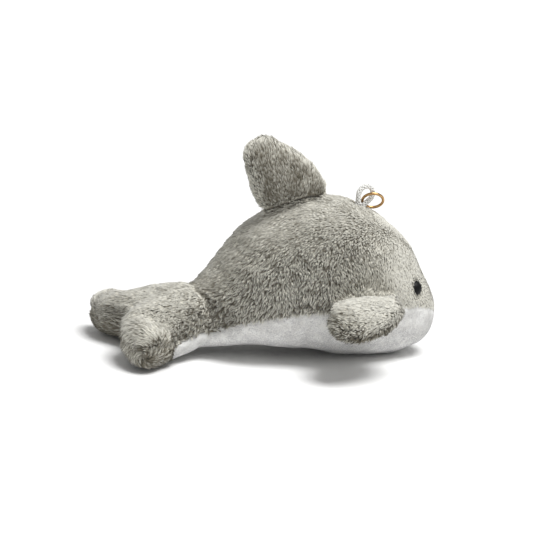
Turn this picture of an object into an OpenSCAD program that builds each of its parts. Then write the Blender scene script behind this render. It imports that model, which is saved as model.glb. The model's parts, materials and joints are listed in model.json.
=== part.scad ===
// Plush dolphin on a hanging loop.
// Frame: +X nose, +Y the toy's left, +Z up, the origin under the middle of its length, on the ground.

/* [Body] */
// Length from the tail crease to the tip of the snout
body_length = 84; // [78:1:92]
// Height of the back above the ground
body_height = 56; // [48:1:64]
// Width across the flanks
body_width = 52; // [46:1:58]
// Thickness of the plush fabric with its pile pressed down
fabric = 1.6; // [1.2:0.1:2.2]
// Play between a fabric panel and the filling
filling_play = 0.1; // [0.05:0.05:0.3]

/* [Tail] */
// Length of the tail behind its crease
tail_length = 34.5; // [32:0.5:40]
// Span across both flukes
fluke_span = 59; // [52:1:66]
// Height of the tail stock
tail_height = 22; // [20:1:23]
// Radius of the rounded root on which the tail bends
crease_radius = 14; // [13.5:0.1:14.5]
// Height of the axis on which the tail bends
crease_height = 14; // [13.5:0.5:14.5]
// Gap between pieces that move against each other
running_gap = 0.3; // [0.2:0.05:0.5]

/* [Dorsal fin] */
// Length of the fin along its root
fin_chord = 24.5; // [20:0.5:27]
// Height of the fin above its root
fin_height = 23.5; // [20:0.5:27]
// Thickness of the stuffed fin
fin_thickness = 13; // [10:1:14]
// Distance of the middle of its root from the tail crease
fin_place = 29.5; // [26:0.5:34]
// Radius of the rounded root
fin_root_radius = 3; // [2.8:0.1:3.4]

/* [Flippers] */
// Length of a flipper along its root
flipper_chord = 26; // [21:1:27]
// Length of a flipper from root to tip
flipper_length = 17; // [14:1:20]
// Thickness of a stuffed flipper
flipper_thickness = 8.5; // [7:0.5:9]
// Distance of the middle of its root from the tail crease
flipper_place = 49; // [47:1:51]
// Height of a flipper's root above the seam
flipper_rise = 2; // [0:0.5:2.5]
// Angle at which a flipper hangs below the level
flipper_droop = 24; // [18:1:30]
// Radius of the rounded root
flipper_root_radius = 2.4; // [2.2:0.1:2.8]

/* [Eyes] */
// Diameter of an eye's dome
eye_d = 5; // [4:0.5:6]
// Diameter of an eye's shank
eye_shank_d = 2; // [1.6:0.1:2.4]
// Length of the shank behind the dome
eye_shank = 5; // [4.5:0.5:6]
// Outer diameter of the washer that locks an eye
washer_d = 6; // [5:0.5:7]
// Thickness of the washer
washer_t = 1; // [0.8:0.1:1.4]
// Distance of the eyes from the tip of the snout, along the body
eye_setback = 11.5; // [10:0.5:15]

/* [Hanging loop and ring] */
// Diameter of the cord
cord_d = 2; // [1.6:0.1:2]
// Distance of the loop from the tail crease
loop_place = 53.5; // [51.5:0.5:56.5]
// Forward lean of the loop
loop_lean = 22; // [15:1:28]
// Diameter of the knot that holds the cord inside
knot_d = 6; // [5:0.5:7]
// Outer diameter of the jump ring
ring_od = 8.2; // [7.8:0.1:8.8]
// Thickness of the ring's wire
ring_wire = 1; // [0.8:0.1:1.1]

/* [Hidden] */

grey = [0.70, 0.69, 0.64];
white = [0.93, 0.93, 0.91];
wadding = [0.96, 0.95, 0.92];
black = [0.05, 0.05, 0.05];
brass = [0.78, 0.58, 0.30];

// The toy's own frame lies at the middle of its whole length.
frame_x = (tail_length - body_length) / 2;
tail_axis = [-crease_radius - running_gap, 0, crease_height];

// Body sections from the crease to the snout, in percent of the body's length, height and half width:
// place, top, bottom, half width, height of the widest point, height of the seam between grey and white.
body_rows = [
    [-5, 41.2, 4, 49, 23, 17],
    [0, 47.8, 4, 57, 25, 19],
    [6, 59, 5, 68, 28, 24.5],
    [14, 76.5, 6, 82, 33, 30],
    [23, 86.5, 6, 92, 37, 33.5],
    [33, 94, 5, 98, 39, 36],
    [42, 97.5, 3.5, 100, 40, 38],
    [51, 98.5, 1.8, 100, 40, 39],
    [60, 96, 0.2, 96, 39, 39],
    [68, 90.5, -0.9, 89, 38, 38.5],
    [75, 83.5, -0.8, 79, 36, 38],
    [81, 76, -0.4, 68, 34, 37.2],
    [86, 67.5, 1, 59, 32, 36.2],
    [90, 57.5, 3.2, 51, 30, 35],
    [93, 49.5, 5.6, 45, 29, 33.5],
    [95.8, 43.5, 9, 37, 28, 31.8],
    [98, 38, 13, 27, 27, 30],
    [99.5, 32.5, 19.5, 14, 26.8, 28]
];
body_roundness = 2.15;
rows_between = 2;
// How far a cutting solid runs past what it cuts.
cut_past = 20;
side_columns = 11;
belly_columns = 10;

// Tail sections from the middle to the tip of a fluke, in percent of the half span, the tail's length
// and its height: place, rear edge, front edge, middle height, half thickness.
tail_rows = [
    [0, 78, -18, 54, 49],
    [12, 83, -17, 53.5, 49],
    [25, 92, -13, 52, 48],
    [38, 98, 0, 49, 45.5],
    [50, 99.8, 22, 44, 42],
    [62, 99.8, 40, 41.5, 39],
    [74, 98.5, 52, 39.5, 36],
    [85, 95.5, 63, 38, 31],
    [93, 92, 71, 37, 21],
    [98, 88.5, 79, 36, 11]
];
tail_roundness = 2.3;
tail_columns = 9;

// Outline of the dorsal fin, in percent of its chord and height: height, rear edge, front edge,
// half thickness.
fin_rows = [
    [6, -55, 48, 66],
    [20, -58, 45, 88],
    [36, -61, 38, 100],
    [52, -62, 26, 98],
    [66, -64, 13, 90],
    [79, -62, -1, 76],
    [89, -57, -10, 56],
    [96, -49, -20, 34]
];
fin_tip = -34;
fin_rake = 16;

// Outline of a flipper, in percent of its chord and length, as for the fin.
flipper_rows = [
    [10, -56, 50, 72],
    [28, -66, 46, 95],
    [46, -75, 36, 100],
    [64, -81, 20, 94],
    [80, -82, 2, 78],
    [92, -77, -20, 52],
    [98, -68, -40, 26]
];
flipper_tip = -58;
flipper_toe = 12;
leaf_columns = 8;

// Route of the loop's cord, from its aft end in the seam over the top to its fore end.
loop_route = [
    [-1.1, 0, -1.2], [-1.2, 0, 0.4], [-1.9, 0, 2], [-2.5, 0, 3.6], [-2.3, 0, 5.2], [-1.4, 0, 6.5],
    [0, 0, 7], [1.4, 0, 6.5], [2.3, 0, 5.2], [2.5, 0, 3.6], [1.9, 0, 2], [1.2, 0, 0.4], [1.1, 0, -1.2]
];
cord_sides = 8;
// How far the loop lifts from its lean.
loop_swing = 15;
knot_depth = 9;
// Place of the ring along the loop, the two tilts at which it leans on the head, and the height at which
// its underside stays above the crown of the head.
ring_grip = 3;
ring_bank = -51;
ring_dip = 11;
ring_rest = 0.6;

// ---- Surfaces built from rows of points ----

function smooth(a, b, c, d, t) =
    0.5 * (2 * b + (c - a) * t + (2 * a - 5 * b + 4 * c - d) * t * t
        + (3 * b - a - 3 * c + d) * t * t * t);
// A table with more rows worked out between its own, on a smooth curve.
function refine(table, steps) = let (last = len(table) - 1) [
    for (i = [0 : last - 1], k = [0 : steps - 1])
        smooth(table[max(i - 1, 0)], table[i], table[i + 1], table[min(i + 2, last)], k / steps),
    table[last]
];
function lookup_row(table, place) = let (
    last = len(table) - 1,
    i = max([for (k = [0 : last - 1]) if (table[k][0] <= place || k == 0) k]),
    t = (place - table[i][0]) / (table[i + 1][0] - table[i][0])
) smooth(table[max(i - 1, 0)], table[i], table[i + 1], table[min(i + 2, last)], t);

// A row shrunk to one point is a pole, which all its columns share.
function is_pole(row) = norm(row[0] - row[1]) < 0.001;
function at(grid, r, c) = r * len(grid[0]) + (is_pole(grid[r]) ? 0 : c % len(grid[0]));
function proper(faces) = [
    for (f = faces) if (f[0] != f[1] && f[1] != f[2] && f[2] != f[0]) f
];
function quad(a, b, c, d) = [[a, b, c], [a, c, d]];
function flat_list(lists) = [for (l = lists, item = l) item];
function flatten_rows(grid) = [for (row = grid, p = row) p];

// A closed solid whose rows are rings.
module ring_solid(grid) {
    rows = len(grid);
    columns = len(grid[0]);
    sides = flat_list([
        for (r = [0 : rows - 2], c = [0 : columns - 1])
            quad(at(grid, r, c), at(grid, r + 1, c), at(grid, r + 1, c + 1), at(grid, r, c + 1))
    ]);
    first = is_pole(grid[0]) ? [] : [[for (c = [0 : columns - 1]) c]];
    last = is_pole(grid[rows - 1]) ? [] : [[for (c = [columns - 1 : -1 : 0]) at(grid, rows - 1, c)]];
    polyhedron(flatten_rows(grid), concat(proper(sides), first, last), convexity = 6);
}

// A half size set in by the thickness of what lies over it, which never turns inside out.
function set_in(half, inset) = max(half - inset, 0.12 * half);

// A panel of fabric between an outer and an inner sheet of points.
module panel_solid(outer, inner) {
    rows = len(outer);
    columns = len(outer[0]);
    n = rows * columns;
    sheets = flat_list([
        for (r = [0 : rows - 2], c = [0 : columns - 2]) concat(
            quad(at(outer, r, c), at(outer, r + 1, c), at(outer, r + 1, c + 1), at(outer, r, c + 1)),
            quad(n + at(inner, r, c), n + at(inner, r, c + 1),
                n + at(inner, r + 1, c + 1), n + at(inner, r + 1, c)))
    ]);
    edges = flat_list([
        for (r = [0 : rows - 2]) concat(
            quad(at(outer, r, 0), n + at(inner, r, 0), n + at(inner, r + 1, 0), at(outer, r + 1, 0)),
            quad(at(outer, r, columns - 1), at(outer, r + 1, columns - 1),
                n + at(inner, r + 1, columns - 1), n + at(inner, r, columns - 1)))
    ]);
    ends = flat_list([
        for (c = [0 : columns - 2]) concat(
            is_pole(outer[0]) ? [] : quad(c, c + 1, n + c + 1, n + c),
            is_pole(outer[rows - 1]) ? [] : quad(
                at(outer, rows - 1, c), n + at(inner, rows - 1, c),
                n + at(inner, rows - 1, c + 1), at(outer, rows - 1, c + 1)))
    ]);
    polyhedron(concat(flatten_rows(outer), flatten_rows(inner)),
        proper(concat(sheets, edges, ends)), convexity = 8);
}

// ---- Body ----

function sgn_pow(v, p) = sign(v) * pow(abs(v), p);
// A body row in millimetres: x, top, bottom, half width, widest height, seam height, set in by a depth.
function body_row(row, inset) = let (
    x = row[0] / 100 * (body_length - inset),
    z = body_height / 100,
    wide = row[4] * z
) [x, wide + set_in(row[1] * z - wide, inset), wide - set_in(wide - row[2] * z, inset),
    set_in(row[3] / 200 * body_width, inset), wide, row[5] * z];
function body_point(m, angle) = let (h = sin(angle) > 0 ? m[1] - m[4] : m[4] - m[2])
    [m[0], -m[3] * sgn_pow(cos(angle), 2 / body_roundness),
        m[4] + h * sgn_pow(sin(angle), 2 / body_roundness)];
function seam_angle(m) = let (
    h = m[5] > m[4] ? m[1] - m[4] : m[4] - m[2],
    share = max(-0.95, min(0.95, (m[5] - m[4]) / h))
) asin(sgn_pow(share, body_roundness / 2));
function snout(inset) = [body_length - inset, 0, 0.269 * body_height];
function body_stations(inset) = [
    for (row = refine(body_rows, rows_between)) body_row(row, inset)
];
function body_grid(inset, from, to, columns) = concat([
    for (m = body_stations(inset)) let (s = seam_angle(m), a = from(s), b = to(s))
        [for (c = [0 : columns]) body_point(m, a + (b - a) * c / columns)]
], [[for (c = [0 : columns]) snout(inset)]]);

// Angles round a section, in step with the columns of the three panels.
function ring_angles(s) = concat(
    [for (c = [0 : side_columns - 1]) 90 + (s - 90) * c / side_columns],
    [for (c = [0 : belly_columns - 1]) s - (180 + 2 * s) * c / belly_columns],
    [for (c = [0 : side_columns - 1]) -180 - s - (90 - s) * c / side_columns]
);

crown = function(s) 90;
right_seam = function(s) s;
under_left = function(s) -180 - s;

module crease_cut(gap) {
    translate(tail_axis) rotate([90, 0, 0])
        cylinder(r = crease_radius + gap, h = body_width + cut_past, center = true, $fn = 96);
}
module ground_cut() {
    translate([0, -body_width, -cut_past]) cube([body_length, 2 * body_width, cut_past]);
}

module plain_side_panel() {
    outer = body_grid(0, crown, right_seam, side_columns);
    inner = body_grid(fabric, crown, right_seam, side_columns);
    panel_solid(outer, inner);
}
module side_panel() {
    color(grey) difference() {
        plain_side_panel();
        crease_cut(running_gap);
        eye_frame() eye_hole();
        loop_frame() loop_slot();
    }
}
module right_side_panel() { side_panel(); }
module left_side_panel() { mirror([0, 1, 0]) side_panel(); }
module belly_panel() {
    outer = body_grid(0, right_seam, under_left, belly_columns);
    inner = body_grid(fabric, right_seam, under_left, belly_columns);
    color(white) difference() {
        panel_solid(outer, inner);
        crease_cut(running_gap);
        ground_cut();
    }
}
module body_filling() {
    inset = fabric + filling_play;
    grid = concat([
        for (m = body_stations(inset)) [for (a = ring_angles(seam_angle(m))) body_point(m, a)]
    ], [[for (a = ring_angles(0)) snout(inset)]]);
    color(wadding) difference() {
        ring_solid(grid);
        crease_cut(running_gap);
        eye_frame() eye_pocket();
        mirror([0, 1, 0]) eye_frame() eye_pocket();
        loop_frame() knot_pocket();
    }
}

// ---- Eyes ----

eye_m = body_row(lookup_row(body_rows, 100 * (1 - eye_setback / body_length)), 0);
eye_angle = 24.5;
eye_at = body_point(eye_m, eye_angle);
eye_normal = let (
    fore = body_point(body_row(lookup_row(body_rows, 100 * (1 - (eye_setback - 1) / body_length)), 0),
        eye_angle),
    above = body_point(eye_m, eye_angle + 4)
) cross(fore - eye_at, above - eye_at);
eye_sink = 0.5;
eye_dome_h = 1.5;
bore_play = 0.1;
// Depth of the washer's face, behind the cloth where it is curved most.
washer_top = fabric + 1;

// Carries its children to the right eye, with +Z straight out of the head.
module eye_frame() {
    n = eye_normal / norm(eye_normal);
    translate(eye_at) rotate([0, acos(n[2]), atan2(n[1], n[0])]) children();
}
// A bore round the eye's axis, from a depth up to clear of the face.
module eye_bore(d, depth) {
    translate([0, 0, -depth]) cylinder(d = d + 2 * bore_play, h = depth + 2 * fabric, $fn = 40);
}
module eye_hole() {
    eye_bore(eye_d, eye_sink);
    eye_bore(eye_shank_d, eye_sink + eye_shank);
}
module eye_pocket() {
    eye_bore(washer_d, washer_top + washer_t + bore_play);
    eye_bore(eye_shank_d, eye_sink + eye_shank + bore_play);
}
module eye() {
    dome_r = (eye_d * eye_d / 4 + eye_dome_h * eye_dome_h) / (2 * eye_dome_h);
    color(black) translate([0, 0, -eye_sink]) {
        rotate_extrude($fn = 48) intersection() {
            translate([0, eye_dome_h - dome_r]) circle(r = dome_r, $fn = 96);
            square([eye_d, eye_dome_h]);
        }
        translate([0, 0, -eye_shank]) cylinder(d = eye_shank_d, h = eye_shank, $fn = 40);
    }
}
module eye_washer() {
    color(wadding) translate([0, 0, -washer_top - washer_t]) difference() {
        cylinder(d = washer_d, h = washer_t, $fn = 40);
        translate([0, 0, -washer_t]) cylinder(d = eye_shank_d, h = 3 * washer_t, $fn = 40);
    }
}
module right_eye() { eye_frame() eye(); }
module left_eye() { mirror([0, 1, 0]) eye_frame() eye(); }
module right_eye_washer() { eye_frame() eye_washer(); }
module left_eye_washer() { mirror([0, 1, 0]) eye_frame() eye_washer(); }

// ---- Tail ----

// A tail row in millimetres: side, middle, half length, middle height, half thickness.
function tail_row(row, inset) = let (
    side = row[0] / 200 * fluke_span,
    rear = -row[1] / 100 * tail_length,
    front = -row[2] / 100 * tail_length,
    rim = 1 - inset / (fluke_span / 2)
) [side * rim, (rear + front) / 2, set_in((front - rear) / 2, inset),
    row[3] / 100 * tail_height, set_in(row[4] / 100 * tail_height, inset)];
function tail_point(m, side, angle) = [
    m[1] + m[2] * sgn_pow(cos(angle), 2 / tail_roundness), side * m[0],
    m[3] + m[4] * sgn_pow(sin(angle), 2 / tail_roundness)
];
function fluke_end(inset, side) =
    [-0.845 * tail_length, side * (fluke_span / 2 - inset), 0.36 * tail_height];
function tail_half(inset, side, from, to, columns) = [
    for (row = refine(tail_rows, rows_between))
        [for (c = [0 : columns]) tail_point(tail_row(row, inset), side,
            from + (to - from) * c / columns)]
];
function reversed(list) = [for (i = [len(list) - 1 : -1 : 0]) list[i]];
function rest_of(list) = [for (i = [1 : len(list) - 1]) list[i]];
function tail_grid(inset, from, to, columns) = concat(
    [[for (c = [0 : columns]) fluke_end(inset, -1)]],
    reversed(tail_half(inset, -1, from, to, columns)),
    rest_of(tail_half(inset, 1, from, to, columns)),
    [[for (c = [0 : columns]) fluke_end(inset, 1)]]
);
module tail_root() {
    intersection() {
        children();
        union() {
            translate(tail_axis) rotate([90, 0, 0])
                cylinder(r = crease_radius, h = fluke_span + cut_past, center = true, $fn = 96);
            translate([-2 * tail_length, -fluke_span, -cut_past])
                cube([2 * tail_length + tail_axis[0], 2 * fluke_span, tail_height + 2 * cut_past]);
        }
    }
}
module tail_panel(from, to) {
    color(grey) tail_root()
        panel_solid(tail_grid(0, from, to, tail_columns), tail_grid(fabric, from, to, tail_columns));
}
module tail_upper_panel() { tail_panel(180, 0); }
module tail_lower_panel() { tail_panel(0, -180); }
module tail_filling() {
    step = 180 / tail_columns;
    color(wadding) tail_root()
        ring_solid(tail_grid(fabric + filling_play, 360 - step, 0, 2 * tail_columns - 1));
}

// ---- Fin and flippers: stuffed leaves with a rounded root ----
// A leaf stands on its root axis, which is X here. Z is its length and Y its thickness.
// leaf = [outline rows, chord, length, thickness, root radius, place of the tip]

fin_leaf = [fin_rows, fin_chord, fin_height, fin_thickness, fin_root_radius, fin_tip];
flipper_leaf = [flipper_rows, flipper_chord, flipper_length, flipper_thickness,
    flipper_root_radius, flipper_tip];

function leaf_ring(rear, front, height, half_t, from, to, columns) = [
    for (c = [0 : columns]) let (a = from + (to - from) * c / columns)
        [(rear + front) / 2 + (front - rear) / 2 * cos(a), half_t * sin(a), height]
];
function leaf_grid(leaf, inset, from, to, columns) = let (
    chord = leaf[1],
    length = leaf[2] - inset,
    half = chord / 2 - inset,
    root_r = leaf[4] - inset
) concat(
    [for (turn = [-90 : 30 : 0]) let (bulge = root_r * cos(turn), reach = half + 0.3 * (bulge - root_r))
        leaf_ring(-reach, reach, root_r * sin(turn), max(0.01, bulge), from, to, columns)],
    [for (row = leaf[0]) let (
        middle = (row[1] + row[2]) / 200 * chord,
        half_chord = set_in((row[2] - row[1]) / 200 * chord, inset)
    ) leaf_ring(middle - half_chord, middle + half_chord, row[0] / 100 * length,
        set_in(row[3] / 200 * leaf[3], inset), from, to, columns)],
    [[for (c = [0 : columns]) [leaf[5] / 100 * chord, 0, length]]]
);
module leaf_panel(leaf, from, to) {
    color(grey) panel_solid(leaf_grid(leaf, 0, from, to, leaf_columns),
        leaf_grid(leaf, fabric, from, to, leaf_columns));
}
module leaf_filling(leaf) {
    step = 180 / leaf_columns;
    color(wadding)
        ring_solid(leaf_grid(leaf, fabric + filling_play, 0, 360 - step, 2 * leaf_columns - 1));
}

function body_at(x) = body_row(lookup_row(body_rows, 100 * x / body_length), 0);
// The fin's root lies on the back, just clear of the highest point under it.
fin_lift = fin_root_radius + running_gap + max([
    for (s = [-0.5 : 0.1 : 0.5]) let (ahead = s * fin_chord * cos(fin_rake))
        (body_at(fin_place + ahead)[1] - body_at(fin_place)[1]) * cos(fin_rake) - ahead * sin(fin_rake)
]);
module fin_frame() {
    translate([fin_place, 0, body_at(fin_place)[1]]) rotate([0, -fin_rake, 0])
        translate([0, 0, fin_lift]) children();
}
module dorsal_fin_right_panel() { fin_frame() leaf_panel(fin_leaf, -180, 0); }
module dorsal_fin_left_panel() { fin_frame() leaf_panel(fin_leaf, 0, 180); }
module dorsal_fin_filling() { fin_frame() leaf_filling(fin_leaf); }

// A flipper's root lies along the seam, just clear of the widest point beside it.
function flank_reach(x) = x * sin(flipper_toe) + body_at(x)[3] * cos(flipper_toe);
flipper_out = flipper_root_radius + running_gap - flank_reach(flipper_place) + max([
    for (s = [-0.55 : 0.1 : 0.55]) flank_reach(flipper_place + s * flipper_chord)
]);
module flipper_frame() {
    m = body_at(flipper_place);
    translate([flipper_place, -m[3], m[5] + flipper_rise]) rotate([0, 0, flipper_toe])
        translate([0, -flipper_out, 0]) rotate([90 + flipper_droop, 0, 0]) children();
}
module flipper_upper_panel() { flipper_frame() leaf_panel(flipper_leaf, 0, 180); }
module flipper_lower_panel() { flipper_frame() leaf_panel(flipper_leaf, -180, 0); }
module flipper_filling() { flipper_frame() leaf_filling(flipper_leaf); }
module right_flipper_upper_panel() { flipper_upper_panel(); }
module right_flipper_lower_panel() { flipper_lower_panel(); }
module right_flipper_filling() { flipper_filling(); }
module left_flipper_upper_panel() { mirror([0, 1, 0]) flipper_upper_panel(); }
module left_flipper_lower_panel() { mirror([0, 1, 0]) flipper_lower_panel(); }
module left_flipper_filling() { mirror([0, 1, 0]) flipper_filling(); }

// ---- Hanging loop, knot and ring ----

loop_foot = abs(loop_route[0][0]);
loop_end = abs(loop_route[0][2]);
// The slot leaves the cord room to tilt.
slot_play = 0.5;
slot_l = 2 * (loop_foot + cord_d / 2 + loop_end * sin(loop_swing) + slot_play);
slot_w = cord_d + 2 * slot_play;
slot_depth = 2 * fabric + 1;
neck_top = loop_end + 1.1;
wrap_gap = 0.15;
ring_r = (ring_od - ring_wire) / 2;
// The drop from where the loop holds the ring to the ring's underside, which rests over the head.
ring_drop = body_at(loop_place)[1] + ring_grip * cos(loop_lean) - ring_rest
    - body_at(loop_place + ring_grip * sin(loop_lean) + ring_r)[1];
// The slope of the ring's plane, and the ring's turn in that plane.
ring_slope = sqrt(1 - pow(cos(ring_dip) * cos(ring_bank), 2));
ring_turn = asin((ring_drop - ring_wire / 2) / (ring_r * ring_slope) - 1)
    - atan2(cos(ring_bank) * sin(ring_dip), -sin(ring_bank));

// Carries its children to the loop's place on the head, with +Z along the loop.
module loop_frame() {
    translate([loop_place, 0, body_at(loop_place)[1]]) rotate([0, loop_lean, 0]) children();
}
module loop_slot() {
    translate([-slot_l / 2, -slot_w / 2, -slot_depth]) cube([slot_l, slot_w, 2 * slot_depth]);
}
module knot_pocket() {
    translate([-slot_l / 2, -slot_w / 2, -knot_depth]) cube([slot_l, slot_w, 2 * knot_depth]);
    translate([0, 0, -knot_depth - knot_d / 2 - wrap_gap])
        cylinder(d = knot_d + 2 * wrap_gap, h = knot_d + 2 * wrap_gap, $fn = 32);
}
function ring_about(p, along) = let (
    t = along / norm(along),
    side = [0, 1, 0],
    up = cross(t, side)
) [for (k = [0 : cord_sides - 1]) let (a = 360 * k / cord_sides)
    p + cord_d / 2 * (cos(a) * side + sin(a) * up)];
module hanging_loop() {
    last = len(loop_route) - 1;
    color(white) loop_frame() ring_solid([
        for (i = [0 : last])
            ring_about(loop_route[i], loop_route[min(i + 1, last)] - loop_route[max(i - 1, 0)])
    ]);
}
module loop_knot() {
    wrap_r = knot_d / 6;
    color(white) loop_frame() {
        for (side = [-1, 1]) translate([side * loop_foot, 0, -knot_depth])
            cylinder(d = cord_d, h = knot_depth - neck_top, $fn = 24);
        translate([0, 0, -knot_depth]) rotate_extrude($fn = 32) {
            translate([0, -knot_d / 2]) square([knot_d / 2 - wrap_r, knot_d]);
            for (turn = [-1 : 1]) translate([knot_d / 2 - wrap_r, 2 * wrap_r * turn])
                circle(r = wrap_r, $fn = 24);
        }
    }
}
// An open ring whose butted ends leave a hairline slit away from the loop.
module jump_ring() {
    slit = 3;
    color(brass) loop_frame() translate([0, 0, ring_grip]) rotate([0, -loop_lean, 0])
        rotate([ring_bank, 0, 0]) rotate([0, ring_dip, ring_turn]) translate([ring_r, 0, 0])
            rotate([0, 0, 90 + slit / 2]) rotate_extrude(angle = 360 - slit, $fn = 64)
                translate([ring_r, 0]) circle(d = ring_wire, $fn = 24);
}

module toy() translate([frame_x, 0, 0]) children();

toy() right_side_panel();
toy() left_side_panel();
toy() belly_panel();
toy() body_filling();
toy() tail_upper_panel();
toy() tail_lower_panel();
toy() tail_filling();
toy() dorsal_fin_right_panel();
toy() dorsal_fin_left_panel();
toy() dorsal_fin_filling();
toy() right_flipper_upper_panel();
toy() right_flipper_lower_panel();
toy() right_flipper_filling();
toy() left_flipper_upper_panel();
toy() left_flipper_lower_panel();
toy() left_flipper_filling();
toy() right_eye();
toy() left_eye();
toy() right_eye_washer();
toy() left_eye_washer();
toy() hanging_loop();
toy() loop_knot();
toy() jump_ring();
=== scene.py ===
"""Looks of a small plush dolphin on a hanging loop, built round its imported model.

Frame: +X to the snout, +Y to the toy's left, +Z up. Lengths are in metres, mostly written as N * MM.
One smooth skin is drawn round all the stuffed parts and cut along the model's own panels into pieces of
backing cloth. A pile of combed tufts, drawn together in clumps, stands on each piece. Places and sizes
come from the frame where it has them.
"""

import json
import math

import bpy
import numpy as np
from mathutils import Matrix, Vector
from mathutils.bvhtree import BVHTree
from mathutils.kdtree import KDTree

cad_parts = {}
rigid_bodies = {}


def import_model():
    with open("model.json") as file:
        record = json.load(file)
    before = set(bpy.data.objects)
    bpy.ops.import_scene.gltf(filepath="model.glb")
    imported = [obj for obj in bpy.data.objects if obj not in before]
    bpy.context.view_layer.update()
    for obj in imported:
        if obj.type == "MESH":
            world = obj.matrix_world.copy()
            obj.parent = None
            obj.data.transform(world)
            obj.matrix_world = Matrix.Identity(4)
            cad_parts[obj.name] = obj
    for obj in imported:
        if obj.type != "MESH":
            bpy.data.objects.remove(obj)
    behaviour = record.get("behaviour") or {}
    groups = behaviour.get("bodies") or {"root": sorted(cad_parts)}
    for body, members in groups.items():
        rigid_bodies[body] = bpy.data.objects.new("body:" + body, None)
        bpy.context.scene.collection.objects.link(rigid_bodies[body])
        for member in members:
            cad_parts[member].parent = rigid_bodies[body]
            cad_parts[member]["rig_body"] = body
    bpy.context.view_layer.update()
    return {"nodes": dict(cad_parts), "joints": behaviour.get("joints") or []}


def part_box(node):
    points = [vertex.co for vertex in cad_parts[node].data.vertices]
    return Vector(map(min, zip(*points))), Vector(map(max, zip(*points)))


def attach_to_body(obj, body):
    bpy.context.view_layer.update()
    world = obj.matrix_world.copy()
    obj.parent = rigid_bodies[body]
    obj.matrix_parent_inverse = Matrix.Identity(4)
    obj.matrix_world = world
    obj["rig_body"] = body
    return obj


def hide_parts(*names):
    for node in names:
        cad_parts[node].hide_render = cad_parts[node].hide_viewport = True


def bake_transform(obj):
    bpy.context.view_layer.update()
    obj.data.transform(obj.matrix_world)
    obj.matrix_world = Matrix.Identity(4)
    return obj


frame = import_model()

MM = 0.001
# Seeds of the random fields, and of the pile's own draws.
SEED = 11
SWIRL_SEED, CURL_SEED, STAND_SEED, TINT_SEED, DENT_SEED, WADDING_SEED = range(SEED, SEED + 6)
# The joints by the body that each of them moves.
JOINTS = {joint["child"]: joint for joint in frame["joints"]}
PANELS = sorted(name for name in frame["nodes"] if name.endswith("_panel"))
FILLINGS = sorted(name for name in frame["nodes"] if name.endswith("_filling"))

# ---- Camera, light and floor ----

# The camera's angles in degrees, the width of the picture where it looks, and its sensor's width in
# millimetres.
VIEW_AZIMUTH = -20
VIEW_ELEVATION = 15
VIEW_ROLL = 5.4
VIEW_DISTANCE = 1.5
VIEW_WIDTH = 183.8 * MM
SENSOR_WIDTH = 36
CLIP_START = 0.1
CLIP_END = 20
# The point that the camera looks at, and how far the picture's middle lies from it.
VIEW_AIM = Vector((0, 0, 30 * MM))
VIEW_OFFSET = Vector((-3.3 * MM, 0.2 * MM))

# The sun's strength, how wide it is in degrees and where it shines from.
KEY_STRENGTH = 2.9
KEY_ANGLE = 30
KEY_FROM = Vector((0.2, -0.25, 1.0))
SKY_STRENGTH = 0.38
FLOOR_COLOUR = (0.93, 0.93, 0.925, 1)
FLOOR_HALF = 4


def make_camera():
    a = math.radians(VIEW_AZIMUTH)
    e = math.radians(VIEW_ELEVATION)
    r = math.radians(VIEW_ROLL)
    back = Vector((math.sin(a) * math.cos(e), -math.cos(a) * math.cos(e), math.sin(e)))
    level = Vector((math.cos(a), math.sin(a), 0))
    upright = back.cross(level)
    right = math.cos(r) * level + math.sin(r) * upright
    up = -math.sin(r) * level + math.cos(r) * upright
    data = bpy.data.cameras.new("camera")
    data.sensor_width = SENSOR_WIDTH
    data.lens = SENSOR_WIDTH * VIEW_DISTANCE / VIEW_WIDTH
    data.clip_start = CLIP_START
    data.clip_end = CLIP_END
    camera = bpy.data.objects.new("camera", data)
    bpy.context.scene.collection.objects.link(camera)
    middle = VIEW_AIM + VIEW_OFFSET.x * right + VIEW_OFFSET.y * up
    turn = Matrix((right, up, back)).transposed().to_4x4()
    camera.matrix_world = Matrix.Translation(middle + VIEW_DISTANCE * back) @ turn
    bpy.context.scene.camera = camera


def make_light():
    world = bpy.data.worlds.new("studio")
    world.use_nodes = True
    sky = world.node_tree.nodes["Background"]
    set_inputs(sky, {"Color": (1, 1, 1, 1), "Strength": SKY_STRENGTH})
    bpy.context.scene.world = world
    data = bpy.data.lights.new("key", "SUN")
    data.energy = KEY_STRENGTH
    data.angle = math.radians(KEY_ANGLE)
    key = bpy.data.objects.new("key", data)
    key.rotation_mode = "QUATERNION"
    key.rotation_quaternion = KEY_FROM.to_track_quat("Z", "Y")
    bpy.context.scene.collection.objects.link(key)


def make_floor():
    ways = [(-1, -1), (1, -1), (1, 1), (-1, 1)]
    floor = mesh_object("floor", [(x * FLOOR_HALF, y * FLOOR_HALF, 0) for x, y in ways], [(0, 1, 2, 3)])
    material, shader = new_material("floor_paper", FLOOR_COLOUR, roughness=0.9)
    set_inputs(shader, {"Specular IOR Level": 0.1})
    floor.data.materials.append(material)


# ---- Meshes ----


def mesh_object(name, verts, faces):
    mesh = bpy.data.meshes.new(name)
    mesh.from_pydata([tuple(v) for v in verts], [], [tuple(f) for f in faces])
    mesh.update()
    obj = bpy.data.objects.new(name, mesh)
    bpy.context.scene.collection.objects.link(obj)
    return obj


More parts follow.
